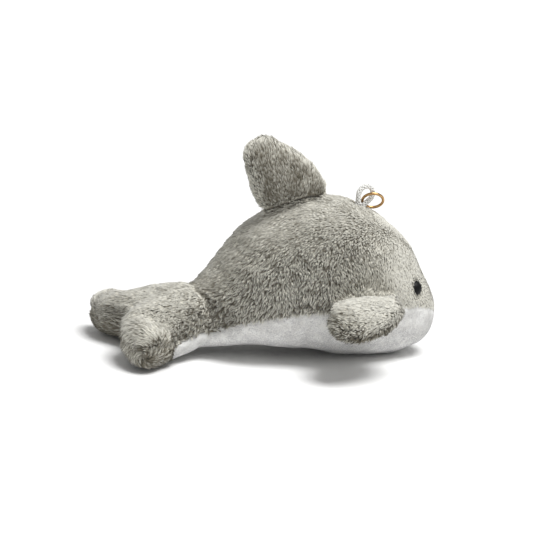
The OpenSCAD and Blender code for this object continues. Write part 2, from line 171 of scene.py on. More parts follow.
def triangle_object(name, verts, triangles):
    """A mesh object from arrays, which is quick for many faces."""
    mesh = bpy.data.meshes.new(name)
    mesh.vertices.add(len(verts))
    mesh.vertices.foreach_set("co", verts.astype(np.float32).ravel())
    mesh.loops.add(3 * len(triangles))
    mesh.loops.foreach_set("vertex_index", triangles.astype(np.int32).ravel())
    mesh.polygons.add(len(triangles))
    mesh.polygons.foreach_set("loop_start", np.arange(0, 3 * len(triangles), 3, dtype=np.int32))
    mesh.polygons.foreach_set("use_smooth", np.ones(len(triangles), bool))
    mesh.update(calc_edges=True)
    obj = bpy.data.objects.new(name, mesh)
    bpy.context.scene.collection.objects.link(obj)
    return obj


def points_of(mesh):
    """The places of a mesh's vertices."""
    co = np.zeros(3 * len(mesh.vertices), np.float32)
    mesh.vertices.foreach_get("co", co)
    return co.reshape(-1, 3).astype(float)


def apply_modifiers(obj):
    graph = bpy.context.evaluated_depsgraph_get()
    mesh = bpy.data.meshes.new_from_object(obj.evaluated_get(graph))
    obj.modifiers.clear()
    obj.data = mesh


def joined(name, parts):
    """One mesh object that holds copies of CAD nodes' meshes, given as pairs of a node and its shift."""
    verts = []
    faces = []
    for node, shift in parts:
        mesh = frame["nodes"][node].data
        start = len(verts)
        verts.extend(points_of(mesh) + shift)
        faces.extend([start + i for i in polygon.vertices] for polygon in mesh.polygons)
    return mesh_object(name, verts, faces)


def skin_round(parts, voxel, rounds):
    """Vertices and quads of one smooth closed surface round these parts."""
    obj = joined("skin_form", parts)
    remesh = obj.modifiers.new("remesh", "REMESH")
    remesh.mode = "VOXEL"
    remesh.voxel_size = voxel
    smooth = obj.modifiers.new("smooth", "SMOOTH")
    smooth.factor = 0.5
    smooth.iterations = rounds
    apply_modifiers(obj)
    verts = points_of(obj.data)
    faces = np.array([polygon.vertices[:] for polygon in obj.data.polygons])
    bpy.data.objects.remove(obj)
    return verts, faces


def normals_of(verts, faces):
    """Vertex normals of a mesh of quads."""
    a, b, c, d = (verts[faces[:, k]] for k in range(4))
    across = np.cross(c - a, d - b)
    total = np.zeros_like(verts)
    for column in range(4):
        np.add.at(total, faces[:, column], across)
    return unit(total)


def evened(values, faces, rounds):
    """Values at the vertices, averaged with their neighbours' over and over."""
    for _ in range(rounds):
        total = np.zeros_like(values)
        count = np.bincount(faces.ravel(), minlength=len(values))
        middle = values[faces].mean(axis=1)
        for column in range(faces.shape[1]):
            np.add.at(total, faces[:, column], middle)
        values = (total.T / np.maximum(count, 1)).T
    return values


def unit(v):
    return v / np.maximum(np.linalg.norm(v, axis=-1, keepdims=True), 1e-12)


def ease(low, high, values):
    """0 below low, 1 above high, and smooth between them."""
    t = np.clip((values - low) / (high - low), 0, 1)
    return t * t * (3 - 2 * t)


# Plane waves in a random field, the shortest and longest of them as shares of its size, and how high
# their peaks rise over their mean height.
WAVE_COUNT = 7
WAVE_LENGTHS = (0.7, 1.5)
WAVE_PEAK = 1.6


def waves(points, size, seed):
    """A smooth random field of about -1 to 1, whose swells are about size long."""
    rng = np.random.default_rng(seed)
    total = np.zeros(len(points))
    for _ in range(WAVE_COUNT):
        direction = unit(rng.normal(size=3))
        length = size * rng.uniform(*WAVE_LENGTHS)
        total += np.sin(points @ direction * (2 * math.pi / length) + rng.uniform(0, 2 * math.pi))
    return total / math.sqrt(WAVE_COUNT / 2) / WAVE_PEAK


# ---- Materials ----

PILE_FINISH = {"Specular IOR Level": 0.3, "Sheen Weight": 0.35, "Sheen Roughness": 0.5}
CLOTH_FINISH = {"Specular IOR Level": 0.2, "Sheen Weight": 0.3}
# Where a mottled colour starts and ends its change in the noise, and how strong its bumps are.
MOTTLE_START = 0.35
MOTTLE_END = 0.65
BUMP_STRENGTH = 0.6
# The colour sockets of a mix node.
MIX_FIRST = 6
MIX_SECOND = 7
MIX_RESULT = 2


def set_inputs(node, values):
    for name, value in values.items():
        node.inputs[name].default_value = value


def new_material(name, colour, roughness):
    material = bpy.data.materials.new(name)
    material.use_nodes = True
    shader = material.node_tree.nodes["Principled BSDF"]
    set_inputs(shader, {"Base Color": colour, "Roughness": roughness})
    return material, shader


def ramp_node(tree, stops):
    """A colour ramp through these pairs of a place and a colour."""
    ramp = tree.nodes.new("ShaderNodeValToRGB")
    elements = ramp.color_ramp.elements
    while len(elements) < len(stops):
        elements.new(0.5)
    for element, (place, colour) in zip(elements, stops):
        element.position = place
        element.color = (*colour, 1)
    return ramp


def srgb(r, g, b):
    """A colour given as screen values from 0 to 255."""
    values = [c / 255 for c in (r, g, b)]
    return tuple(c / 12.92 if c < 0.04045 else ((c + 0.055) / 1.055) ** 2.4 for c in values)


def noise_node(tree, size, detail):
    place = tree.nodes.new("ShaderNodeTexCoord")
    noise = tree.nodes.new("ShaderNodeTexNoise")
    set_inputs(noise, {"Scale": 1 / size, "Detail": detail})
    tree.links.new(place.outputs["Object"], noise.inputs["Vector"])
    return noise


def add_bump(tree, shader, height, distance):
    bump = tree.nodes.new("ShaderNodeBump")
    set_inputs(bump, {"Strength": BUMP_STRENGTH, "Distance": distance})
    tree.links.new(height, bump.inputs["Height"])
    tree.links.new(bump.outputs["Normal"], shader.inputs["Normal"])


def pile_material(name, root, middle, tip, low_tint_and_shade, high_tint):
    """Fibre that is darker at its root, partly as painted shade deep in the pile, with a tint of its own
    for each tuft that also carries painted light and shade. The map OFBake holds the tuft's tint and
    shade across and the way up the tuft upward."""
    material, shader = new_material(name, (*middle, 1), roughness=0.8)
    tree = material.node_tree
    place = tree.nodes.new("ShaderNodeUVMap")
    place.uv_map = "OFBake"
    split = tree.nodes.new("ShaderNodeSeparateXYZ")
    tree.links.new(place.outputs["UV"], split.inputs["Vector"])
    along = ramp_node(tree, [(0, root), (0.5, middle), (1, tip)])
    tree.links.new(split.outputs["Y"], along.inputs["Fac"])
    tint_and_shade = ramp_node(tree, [(0, low_tint_and_shade), (1, high_tint)])
    tree.links.new(split.outputs["X"], tint_and_shade.inputs["Fac"])
    mix = tree.nodes.new("ShaderNodeMix")
    mix.data_type = "RGBA"
    mix.blend_type = "MULTIPLY"
    set_inputs(mix, {"Factor": 1})
    tree.links.new(along.outputs["Color"], mix.inputs[MIX_FIRST])
    tree.links.new(tint_and_shade.outputs["Color"], mix.inputs[MIX_SECOND])
    tree.links.new(mix.outputs[MIX_RESULT], shader.inputs["Base Color"])
    set_inputs(shader, PILE_FINISH)
    return material


def mottled_material(name, low, high, size, roughness, bump_size, bump_depth):
    """A colour that wanders between two, over a fine uneven surface."""
    material, shader = new_material(name, (*high, 1), roughness)
    tree = material.node_tree
    colours = ramp_node(tree, [(MOTTLE_START, low), (MOTTLE_END, high)])
    tree.links.new(noise_node(tree, size, detail=4).outputs["Fac"], colours.inputs["Fac"])
    tree.links.new(colours.outputs["Color"], shader.inputs["Base Color"])
    add_bump(tree, shader, noise_node(tree, bump_size, detail=3).outputs["Fac"], bump_depth)
    return material, shader


def cloth_material(name, low, high):
    material, shader = mottled_material(
        name, low, high, size=3 * MM, roughness=0.95, bump_size=0.4 * MM, bump_depth=0.2 * MM
    )
    set_inputs(shader, CLOTH_FINISH)
    return material


# The low tints are the piles' darkest, where painted shade and each tuft's own tint are lowest. The grey
# pile's dark root is partly painted shade deep in the pile.
GREY_PILE = pile_material(
    "grey_pile", root=srgb(92, 85, 71), middle=srgb(230, 227, 214), tip=srgb(250, 249, 241),
    low_tint_and_shade=(0.26, 0.24, 0.20), high_tint=(1, 1, 1),
)
WHITE_PILE = pile_material(
    "white_pile", root=srgb(228, 227, 223), middle=srgb(244, 243, 240), tip=srgb(250, 250, 248),
    low_tint_and_shade=(0.6, 0.6, 0.62), high_tint=(1, 1, 1),
)
# The grey backing cloth is darker than its pile, partly as painted shade in the gaps between the tufts.
GREY_CLOTH_AND_GAP_SHADE = cloth_material("grey_cloth", srgb(112, 106, 92), srgb(138, 133, 120))
WHITE_CLOTH = cloth_material("white_cloth", srgb(224, 223, 219), srgb(238, 238, 235))


# ---- Roots, where a stuffed part bends on the body ----


def outward(body):
    """The way a stuffed part points away from the body, square to its hinge's axis."""
    joint = JOINTS[body]
    if body == "tail":
        return np.array((-1.0, 0.0, 0.0))
    panels = [name for name in PANELS if frame["nodes"][name]["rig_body"] == body]
    middle = np.mean([points_of(frame["nodes"][name].data).mean(axis=0) for name in panels], axis=0)
    away = middle - np.array(joint["pos_m"])
    axis = unit(np.array(joint["axis"]))
    return unit(away - axis * (away @ axis))


# How far the bend reaches towards the body and away from it, from the hinge's axis.
BENDS = {
    "tail": (7 * MM, 7 * MM),
    "dorsal_fin": (2 * MM, 5 * MM),
    "right_flipper": (1.5 * MM, 5 * MM),
    "left_flipper": (1.5 * MM, 5 * MM),
}


def attach(piece, body):
    """Rides on the body; a piece of a bending part only has its transform laid into its mesh."""
    if body not in BENDS:
        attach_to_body(piece, body)
        return
    away = outward(body)
    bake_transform(piece)


# ---- Skin and backing cloth ----

SKIN_VOXEL = 0.8 * MM
SKIN_ROUNDS = 8
# The fold between the body and the tail: how far it reaches each way, how much it is softened, and how
# much of a full arc it follows from top to bottom.
FOLD_REACH = 9 * MM
FOLD_ROUNDS = 36
FOLD_ARC = 0.8
# How far the seams pull the skin in, over how many rounds that is evened, and what makes up for the
# evening.
SEAM_DEPTH = 0.25 * MM
TAIL_SEAM_DEPTH = 0.7 * MM
SEAM_ROUNDS = 3
SEAM_GAIN = 2.5
# Shallow dents all over the cloth.
DENT_DEPTH = 0.25 * MM
DENT_SIZE = 14 * MM
# Where the stuffing swells or slackens under the top of the toy: how far along, over what reach, and by
# how much.
SWELLS = [
    (50 * MM, 9 * MM, 1.0 * MM),
    (36 * MM, 7 * MM, 0.7 * MM),
    (-15 * MM, 6 * MM, -0.6 * MM),
    (-31 * MM, 6 * MM, 1.2 * MM),
    (-48 * MM, 7 * MM, -1.3 * MM),
]
# How far the cloth lies below the CAD model's surface, as a share of the height of its pile, and over
# how many rounds that depth is evened.
PILE_SHARE = 0.62
DEPTH_ROUNDS = 6
CLOTH_THICKNESS = 0.5 * MM
# The least heights of the cloth and of its pile over the floor.
CLOTH_FLOOR = 0.1 * MM
PILE_FLOOR = 0.02 * MM
# How far copies of the fin and flippers are sunk into the body, to join their roots to it.
ROOT_SINK = 3 * MM


def fold_place(points):
    """Where the fold between the body and the tail lies at each point's height."""
    hinge = np.array(JOINTS["tail"]["pos_m"])
    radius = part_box("tail_upper_panel")[1].x - hinge[0]
    rise = np.clip(points[:, 2] - hinge[2], -radius, radius)
    return hinge[0] + np.sqrt(radius**2 - FOLD_ARC * rise**2)


def nearest_panel(points):
    """For each point, the number in PANELS of the node that it lies nearest to."""
    distances = []
    for node in PANELS:
        mesh = frame["nodes"][node].data
        tree = BVHTree.FromPolygons(points_of(mesh).tolist(), [p.vertices[:] for p in mesh.polygons])
        distances.append([tree.find_nearest(p)[3] for p in points.tolist()])
    return np.argmin(np.array(distances), axis=0)


def whole_skin():
    """One closed skin round all the stuffed parts, softest in the fold of the tail."""
    parts = [(node, np.zeros(3)) for node in PANELS + FILLINGS]
    for node in PANELS + FILLINGS:
        body = frame["nodes"][node]["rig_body"]
        if body in BENDS and body != "tail":
            parts.append((node, -ROOT_SINK * outward(body)))
    verts, faces = skin_round(parts, SKIN_VOXEL, SKIN_ROUNDS)
    near = ease(1, 0.3, np.abs(verts[:, 0] - fold_place(verts)) / FOLD_REACH)[:, None]
    for _ in range(FOLD_ROUNDS):
        verts = verts + near * (evened(verts, faces, 1) - verts)
    return verts, faces


def own_mesh(verts, faces):
    """The vertices that these faces use, and the faces renumbered to them."""
    used, numbers = np.unique(faces, return_inverse=True)
    return verts[used], numbers.reshape(faces.shape)


def cloth_piece(name, verts, faces, material, body):
    """A panel of backing cloth with its own thickness."""
    own, numbers = own_mesh(verts, faces)
    obj = mesh_object(name, own, numbers.tolist())
    solid = obj.modifiers.new("thickness", "SOLIDIFY")
    solid.thickness = CLOTH_THICKNESS
    solid.offset = -1
    apply_modifiers(obj)
    obj.data.polygons.foreach_set("use_smooth", np.ones(len(obj.data.polygons), bool))
    obj.data.materials.append(material)
    attach(obj, body)
    return obj


# ---- Pile ----

SIDES = 3
# Lines of the spine above the root, and the share of the angle at the root that each still has.
SPINE = (1.0, 0.45)
# The shares of a tuft's width that it has at its root and half way up.
RING_WIDTHS = (0.8, 1.0)
MOST_FACES = 190_000
# How far clumps draw the middles of their tufts together, against their tips, and the least share of
# its clump's pull that a tuft gets.
MIDDLE_PULL = 0.45
LEAST_PULL = 0.7
# Pile stands only where nothing lies over the cloth between these two heights.
OPEN_FROM = 0.4 * MM
OPEN_REACH = 2 * MM
# How far the roots lie under the cloth's surface.
ROOT_DEPTH = 0.15 * MM
# Swirls and curls of the comb, which turn it by up to about their angles in radians, and the spread from
# tuft to tuft.
SWIRL_SIZE = 9 * MM
CURL_SIZE = 2.6 * MM
CURL = 0.25
FOLD_CURL = 0.7
COMB_SPREAD = 0.16
# Spread of length and width as shares, and of the angle at which tufts stand, partly in waves.
LENGTH_SPREAD = 0.2
WIDTH_SPREAD = 0.25
STAND_WAVE = 0.2
STAND_SIZE = 5 * MM
STAND_SPREAD = 5
# Spread of the tint in waves, from clump to clump and from tuft to tuft.
TINT_WAVE = 0.08
TINT_SIZE = 7 * MM
CLUMP_TINT = 0.44
TUFT_TINT = 0.16
# Tints stay between these, clear of the map's edges.
TINT_ENDS = (0.01, 0.99)
# The shares by which sleek pile swirls, spreads, clumps and varies in tint less than shaggy pile.
SLEEK_SWIRL = 0.7
SLEEK_SPREAD = 0.5
SLEEK_PULL = 0.45
SLEEK_TINT = 0.75
# How far sleek pile is shaded as the smooth surface that its dense fibres make together.
SOFT_SHADE = 0.7
# The triangles of a tuft: its root's end, its lower sides and its upper sides.
TUFT_FACES = np.array(
    [(0, 2, 1)]
    + [(k, (k + 1) % SIDES, (k + 1) % SIDES + SIDES) for k in range(SIDES)]
    + [(k, (k + 1) % SIDES + SIDES, k + SIDES) for k in range(SIDES)]
    + [(SIDES + k, SIDES + (k + 1) % SIDES, 2 * SIDES) for k in range(SIDES)]
)


def clumped(roots, spine, ratio, pull, rng):
    """Draws each tuft towards its nearest leader, more so at its tip. Returns the leaders' numbers."""
    leaders = rng.choice(len(roots), size=max(1, int(len(roots) / ratio)), replace=False)
    tree = KDTree(len(leaders))
    for number, leader in enumerate(leaders):
        tree.insert(roots[leader], number)
    tree.balance()
    own = leaders[[tree.find(p)[1] for p in roots.tolist()]]
    for place, share in ((1, MIDDLE_PULL * pull), (2, pull)):
        spine[place] = spine[place] + share[:, None] * (spine[place][own] - spine[place])
    return own


def tuft_object(name, spine, side, width, tint_and_shade, soft, material):
    """Tufts of three sides: a ring at the root, a wider one half way and the tip. Their shading normals
    are drawn towards the vectors in soft, by those vectors' lengths, as a dense nap scatters light."""
    count = len(width)
    verts = np.zeros((count, 2 * SIDES + 1, 3))
    for ring, share in enumerate(RING_WIDTHS):
        ahead = unit(spine[ring + 1] - spine[max(ring - 1, 0)])
        over = np.cross(ahead, side)
        for k in range(SIDES):
            angle = 2 * math.pi * k / SIDES + math.pi / 2
            out = math.cos(angle) * side + math.sin(angle) * over
            verts[:, ring * SIDES + k] = spine[ring] + out * (width * share / 2)[:, None]
    verts[:, -1] = spine[-1]
    verts[:, :, 2] = np.maximum(verts[:, :, 2], PILE_FLOOR)
    offsets = np.arange(count)[:, None, None] * verts.shape[1]
    triangles = (TUFT_FACES[None] + offsets).reshape(-1, 3)
    obj = triangle_object(name, verts.reshape(-1, 3), triangles)
    own = np.zeros(3 * count * verts.shape[1], np.float32)
    obj.data.vertices.foreach_get("normal", own)
    strength = np.linalg.norm(soft, axis=1)
    blended = own.reshape(count, -1, 3) * (1 - strength)[:, None, None] + soft[:, None]
    obj.data.normals_split_custom_set_from_vertices(unit(blended).reshape(-1, 3))
    up = np.repeat((0.0, 0.5, 1.0), [SIDES, SIDES, 1])
    places = np.stack([np.repeat(tint_and_shade, verts.shape[1]), np.tile(up, count)], axis=1)
    layer = obj.data.uv_layers.new(name="OFBake")
    layer.uv.foreach_set("vector", places[triangles.ravel()].astype(np.float32).ravel())
    obj.data.materials.append(material)
    return obj


def scattered(verts, faces, density, rng):
    """Random points on a mesh of quads, as triangles and the vertex weights that make them."""
    triangles = np.concatenate([faces[:, [0, 1, 2]], faces[:, [0, 2, 3]]])
    a, b, c = (verts[triangles[:, k]] for k in range(3))
    areas = np.linalg.norm(np.cross(b - a, c - a), axis=1) / 2
    count = int(density * areas.sum())
    chosen = rng.choice(len(triangles), size=count, p=areas / areas.sum())
    u, v = rng.random(count), rng.random(count)
    flip = u + v > 1
    u[flip], v[flip] = 1 - u[flip], 1 - v[flip]
    return triangles[chosen], np.stack([1 - u - v, u, v], axis=1)


def in_open(points, normals, tree):
    """Whether nothing of the skin lies close over each point."""
    starts = points + OPEN_FROM * normals
    return np.array(
        [tree.ray_cast(Vector(p), Vector(n), OPEN_REACH)[0] is None for p, n in zip(starts, normals)]
    )


def combed(normals, directions):
    """Directions laid flat on the surface."""
    return unit(directions - np.sum(directions * normals, axis=1, keepdims=True) * normals)


def turned(comb, normals, angle):
    """The comb turned on the surface by these angles."""
    return comb * np.cos(angle)[:, None] + np.cross(normals, comb) * np.sin(angle)[:, None]


def pile_stand(style, sleek):
    """The angle in degrees at which the pile stands on its cloth."""
    return style["stand"] + (style["sleek_stand"] - style["stand"]) * sleek


def pile_height(style, points, out):
    """How high the pile reaches over its cloth."""
    angle = np.radians(pile_stand(style, style["sleek"](points, out)))
    return style["length"](points) * np.sin(angle)


def ruffled(style, roots, out, sleek, rng):
    """The way each tuft is combed along its cloth."""
    comb = combed(out, style["flow"](roots))
    curl = CURL * (1 - sleek) + FOLD_CURL * near_fold(roots)
    swirl = style["swirl"] * (1 - SLEEK_SWIRL * sleek) * waves(roots, SWIRL_SIZE, SWIRL_SEED)
    swirl += curl * waves(roots, CURL_SIZE, CURL_SEED)
    stray = rng.normal(0, COMB_SPREAD, len(roots)) * (1 - SLEEK_SPREAD * sleek)
    return turned(comb, out, swirl + stray)


def spines(style, roots, out, comb, sleek, rng):
    """The places of each tuft's root, middle and tip, as a list of three arrays."""
    length = style["length"](roots) * rng.uniform(1 - LENGTH_SPREAD, 1 + LENGTH_SPREAD, len(roots))
    stand = pile_stand(style, sleek) * (1 + STAND_WAVE * waves(roots, STAND_SIZE, STAND_SEED))
    stand = np.radians(stand + rng.normal(0, STAND_SPREAD, len(roots)))
    spine = [roots - ROOT_DEPTH * out]
    for share in SPINE:
        step = np.cos(share * stand)[:, None] * comb + np.sin(share * stand)[:, None] * out
        spine.append(spine[-1] + step * (length / len(SPINE))[:, None])
    return spine


def tints(style, roots, out, sleek, leader, rng):
    """How light each tuft is, from 0 to 1: its style's painted light and shade, with a tint that its
    clump mostly shares.
    """
    shade = rng.normal(0, 1, len(roots))
    vary = 1 - SLEEK_TINT * sleek
    tint_and_shade = style["tone_and_shade"](roots, out) + TINT_WAVE * waves(roots, TINT_SIZE, TINT_SEED)
    return np.clip(tint_and_shade + vary * (CLUMP_TINT * shade[leader] + TUFT_TINT * shade), *TINT_ENDS)


def pile_pieces(name, verts, faces, normals, tree, style, body):
    """Tufts all over a panel, as one piece or more of a workable size."""
    rng = np.random.default_rng([SEED, *name.encode()])
    triangles, weights = scattered(verts, faces, style["density"], rng)
    roots = np.einsum("ij,ijk->ik", weights, verts[triangles])
    out = unit(np.einsum("ij,ijk->ik", weights, normals[triangles]))
    keep = in_open(roots, out, tree) & style["keep"](roots)
    roots, out = roots[keep], out[keep]
    count = len(roots)
    sleek = style["sleek"](roots, out)
    comb = ruffled(style, roots, out, sleek, rng)
    spine = spines(style, roots, out, comb, sleek, rng)
    pull = rng.uniform(LEAST_PULL, 1.0, count) * style["pull"] * (1 - SLEEK_PULL * sleek)
    leader = clumped(roots, spine, style["clump"], pull, rng)
    tint_and_shade = tints(style, roots, out, sleek, leader, rng)
    width = style["width"] * rng.uniform(1 - WIDTH_SPREAD, 1 + WIDTH_SPREAD, count)
    side = unit(np.cross(out, comb))
    soft = out * (SOFT_SHADE * sleek)[:, None]
    parts = max(1, math.ceil(count * len(TUFT_FACES) / MOST_FACES))
    for number, part in enumerate(np.array_split(np.argsort(roots[:, 0]), parts)):
        label = name if parts == 1 else f"{name}_{number + 1}"
        piece = tuft_object(
            label, [line[part] for line in spine], side[part], width[part], tint_and_shade[part], soft[part],
            style["material"],
        )
        attach(piece, body)


# ---- Where the pile stands, how it lies and how long it is ----

# In the functions from here on, each ease runs from one place or way of facing to another, and the
# number before it is how much changes between them.

# How far the pile stays from the middles of the eyes, and from the loop's foot.
EYE_GAP = 1.5 * MM
LOOP_GAP = 3 * MM
# How much of a height counts as distance from an eye.
EYE_RISE = 0.72
# The ends of the flukes, round which the pile runs: how far in they lie from the tail's rear and sides,
# and from how far off to how near the pile turns round them.
FLUKE_END_AHEAD = 7 * MM
FLUKE_END_IN = 5 * MM
FLUKE_TURN = (16 * MM, 8 * MM)


def near_fold(points):
    """1 at the fold between the body and the tail, and less away from it."""
    return np.exp(-(((points[:, 0] - fold_place(points)) / FOLD_REACH) ** 2))


def anywhere(points):
    return np.ones(len(points), bool)


def clear_of_fittings(points):
    """Away from the eyes, and out of the cord's way as the loop tilts."""
    foot = np.linalg.norm(points - np.array(JOINTS["loop"]["pos_m"]), axis=1)
    return (eye_distance(points) > EYE_GAP) & (foot > LOOP_GAP)


def along_body(points):
    """How far along the grey sides each point lies, from 0 at the crease to 1 at the snout."""
    low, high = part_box("right_side_panel")
    return (points[:, 0] - low.x) / (high.x - low.x)


def side_flow(points):
    """Down and back behind, nearly straight down on the flanks, and level along the back, the forehead
    and the middle. steep is the angle below level, first in degrees."""
    ahead = along_body(points)
    height = points[:, 2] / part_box("right_side_panel")[1].z
    steep = 48 + 36 * ease(0.08, 0.4, ahead) - 30 * ease(0.7, 0.95, ahead)
    steep = np.radians(steep * (1 - 0.85 * ease(0.66, 0.95, height)))
    steep *= ease(1 * MM, 14 * MM, np.abs(points[:, 1]))
    return np.stack([-np.cos(steep), 0.1 * np.sign(points[:, 1]), -np.sin(steep)], axis=1)


def back_flow(points):
    return np.tile((-1.0, 0.0, -0.15), (len(points), 1))


def tail_flow(points):
    """Back and out along the flukes, and round each fluke's end."""
    side = np.sign(points[:, 1])
    out = side * np.clip(np.abs(points[:, 1]) / (20 * MM), 0, 1)
    straight = np.stack([-np.ones(len(points)), 0.8 * out, -0.25 * np.ones(len(points))], axis=1)
    low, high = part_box("tail_lower_panel")
    end = np.stack([
        np.full(len(points), low.x + FLUKE_END_AHEAD),
        side * (high.y - FLUKE_END_IN),
        np.full(len(points), (low.z + high.z) / 2),
    ], axis=1)
    axis = np.stack([-0.45 * np.ones(len(points)), 0.9 * side, np.zeros(len(points))], axis=1)
    around = unit(np.cross(axis, points - end))
    near = ease(*FLUKE_TURN, np.linalg.norm(points - end, axis=1))[:, None]
    return unit(straight) * (1 - near) + around * near


def fin_flow(points):
    """Up, and a little back."""
    return np.tile((-0.3, 0.0, 1.0), (len(points), 1))


def flipper_flow(points):
    """Back, down and a little out."""
    ones = np.ones(len(points))
    return np.stack([-ones, 0.3 * np.sign(points[:, 1]), -0.35 * ones], axis=1)


def even(value):
    """A length that is the same everywhere."""
    return lambda points: np.full(len(points), value)


def eye_distance(points):
    """How far each point lies from the nearer eye's middle, counted longer along the body than up it."""
    distances = []
    for node in ("right_eye", "left_eye"):
        low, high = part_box(node)
        away = points - np.array((low + high) / 2)
        away[:, 2] *= EYE_RISE
        distances.append(np.linalg.norm(away, axis=1))
    return np.minimum(*distances)


def side_length(points):
    """2.1 mm, and 1.2 mm on the head."""
    return (2.1 - 0.9 * ease(0.55, 0.9, along_body(points))) * MM


# ---- How sleek the pile is, from 0, shaggy, to 1, smooth ----


def side_sleek(points, out):
    """Sleek on the head, except round the eyes, and on the top of the back."""
    head = ease(0.45, 0.8, along_body(points)) * ease(2.5 * MM, 4 * MM, eye_distance(points))
    return np.maximum(head, 0.85 * ease(0.3, 0.85, out[:, 2]))


def tail_sleek(points, out):
    """Sleek on top, and shaggier below."""
    return 0.15 + 0.6 * ease(-0.3, 0.8, out[:, 2])


def fin_sleek(points, out):
    """Sleek on both faces, and standing round the rim."""
    return 0.25 + 0.55 * ease(0.5, 0.9, np.abs(out[:, 1]))


def flipper_sleek(points, out):
    """Shaggy underneath and at the rear outer corner, where the pile parts, and sleek in front."""
    low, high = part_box("left_flipper_upper_panel")
    ahead = (points[:, 0] - low.x) / (high.x - low.x)
    inward = (high.y - np.abs(points[:, 1])) / (high.y - low.y)
    return 0.95 * ease(0.2, 0.75, ahead + 0.5 * inward) * ease(-0.4, 0.2, out[:, 2])


def all_sleek(points, out):
    return np.ones(len(points))


# ---- How light the pile is, from 0, dark, to 1, light, mostly as painted light and shade ----


def side_tone_and_shade(points, out):
    """Lightest on the head, with painted shade low down, along the very top and most in the tail's fold.
    """
    light = 0.42 + 0.36 * ease(-0.4, 0.1, out[:, 2]) + 0.36 * ease(0.6, 0.85, along_body(points))
    return light - 0.14 * ease(0.4, 0.8, out[:, 2]) - 0.3 * near_fold(points)


def tail_tone_and_shade(points, out):
    """Light on top and dark below, as painted light and shade."""
    return 0.04 + 0.74 * ease(-0.7, 0.7, out[:, 2])


def fin_tone_and_shade(points, out):
    """Lightest round the rim, as a painted rim light, and darker on both faces as painted shade."""
    return 0.3 + 0.6 * ease(0.95, 0.5, np.abs(out[:, 1]))


def flipper_tone_and_shade(points, out):
    """Light on top and where it is sleek, darker underneath, as painted light and shade."""
    return 0.05 + 0.5 * ease(-0.6, 0.6, out[:, 2]) + 0.5 * flipper_sleek(points, out)


def white_tone_and_shade(points, out):
    """Light at the chin and darker under the belly, as painted light and shade by the way it faces."""
    return 0.85 * ease(-0.5, 0.9, out[:, 2] + 0.8 * out[:, 0])


# ---- Kinds of pile ----

# density is in tufts to a square metre, stand and sleek_stand are the angles in degrees of shaggy and
# of sleek pile, swirl is in radians, clump is how many tufts a clump has and pull how far it draws them
# together.
GREY = dict(
    material=GREY_PILE, cloth=GREY_CLOTH_AND_GAP_SHADE, slot="grey_plush", density=16 / MM**2, width=0.17 * MM,
    stand=55, sleek_stand=23, swirl=0.35, clump=5.5, pull=1.0, keep=anywhere,
)
WHITE = dict(
    material=WHITE_PILE, cloth=WHITE_CLOTH, slot="white_plush", density=16 / MM**2, width=0.19 * MM,
    stand=24, sleek_stand=24, swirl=0.3, clump=4, pull=0.1, keep=anywhere, flow=back_flow,
    length=even(0.6 * MM), sleek=all_sleek, tone_and_shade=white_tone_and_shade,
)
SIDE = dict(
    GREY, flow=side_flow, length=side_length, keep=clear_of_fittings, sleek=side_sleek, tone_and_shade=side_tone_and_shade
)
TAIL = dict(GREY, flow=tail_flow, length=even(2.4 * MM), sleek=tail_sleek, tone_and_shade=tail_tone_and_shade)
FIN = dict(GREY, flow=fin_flow, length=even(2.1 * MM), sleek=fin_sleek, tone_and_shade=fin_tone_and_shade)
FLIPPER = dict(GREY, flow=flipper_flow, length=even(2.6 * MM), sleek=flipper_sleek, tone_and_shade=flipper_tone_and_shade)
STYLES = {
    "body": SIDE, "tail": TAIL, "dorsal_fin": FIN, "right_flipper": FLIPPER, "left_flipper": FLIPPER
}

# ---- Plush ----

# The white part of the tail: how far it runs behind the hinge and to each side, the height of its edge
# 2 mm ahead of the hinge, and how that rises forward.
WHITE_BEHIND = 1.5 * MM
WHITE_HALF = 24 * MM
WHITE_TOP = 8 * MM
WHITE_RISE = 0.36


def white_tail(points):
    """The part of the tail's underside that the white belly cloth runs on to."""
    ahead = points[:, 0] - JOINTS["tail"]["pos_m"][0]
    top = WHITE_TOP + WHITE_RISE * (ahead - 2 * MM)
    return (ahead > -WHITE_BEHIND) & (points[:, 2] < top) & (np.abs(points[:, 1]) < WHITE_HALF)


def swell(verts, normals):
    """How far the stuffing pushes each vertex out, on the upper side."""
    total = sum(
        height * np.exp(-(((verts[:, 0] - place) / reach) ** 2)) for place, reach, height in SWELLS
    )
    return total * ease(0.3, 0.7, normals[:, 2])


def seam_depth(verts, faces, owner):
    """How far the seams pull each vertex in where two panels meet, most of all along the tail's rim."""
    first = np.full(len(verts), len(PANELS))
    last = np.full(len(verts), -1)
    for column in range(4):
        np.minimum.at(first, faces[:, column], owner)
        np.maximum.at(last, faces[:, column], owner)
    tail = [PANELS.index(name) for name in ("tail_lower_panel", "tail_upper_panel")]
    rim = (first == tail[0]) & (last == tail[1])
    depth = np.where(first != last, SEAM_DEPTH, 0.0) + np.where(rim, TAIL_SEAM_DEPTH - SEAM_DEPTH, 0.0)
    return SEAM_GAIN * evened(depth, faces, SEAM_ROUNDS)


def set_in(verts, faces, groups, owner):
    """The skin's vertices, set in by its pile, seams and dents, and pushed out by its swells."""
    depth = np.zeros(len(verts))
    normals = normals_of(verts, faces)
    for _, own, style, _, _ in groups:
        used = np.unique(own)
        depth[used] = PILE_SHARE * pile_height(style, verts[used], normals[used])
    depth = evened(depth, faces, DEPTH_ROUNDS) + seam_depth(verts, faces, owner)
    depth += DENT_DEPTH * waves(verts, DENT_SIZE, DENT_SEED) - swell(verts, normals)
    verts = verts - normals * depth[:, None]
    verts[:, 2] = np.maximum(verts[:, 2], CLOTH_FLOOR)
    return verts


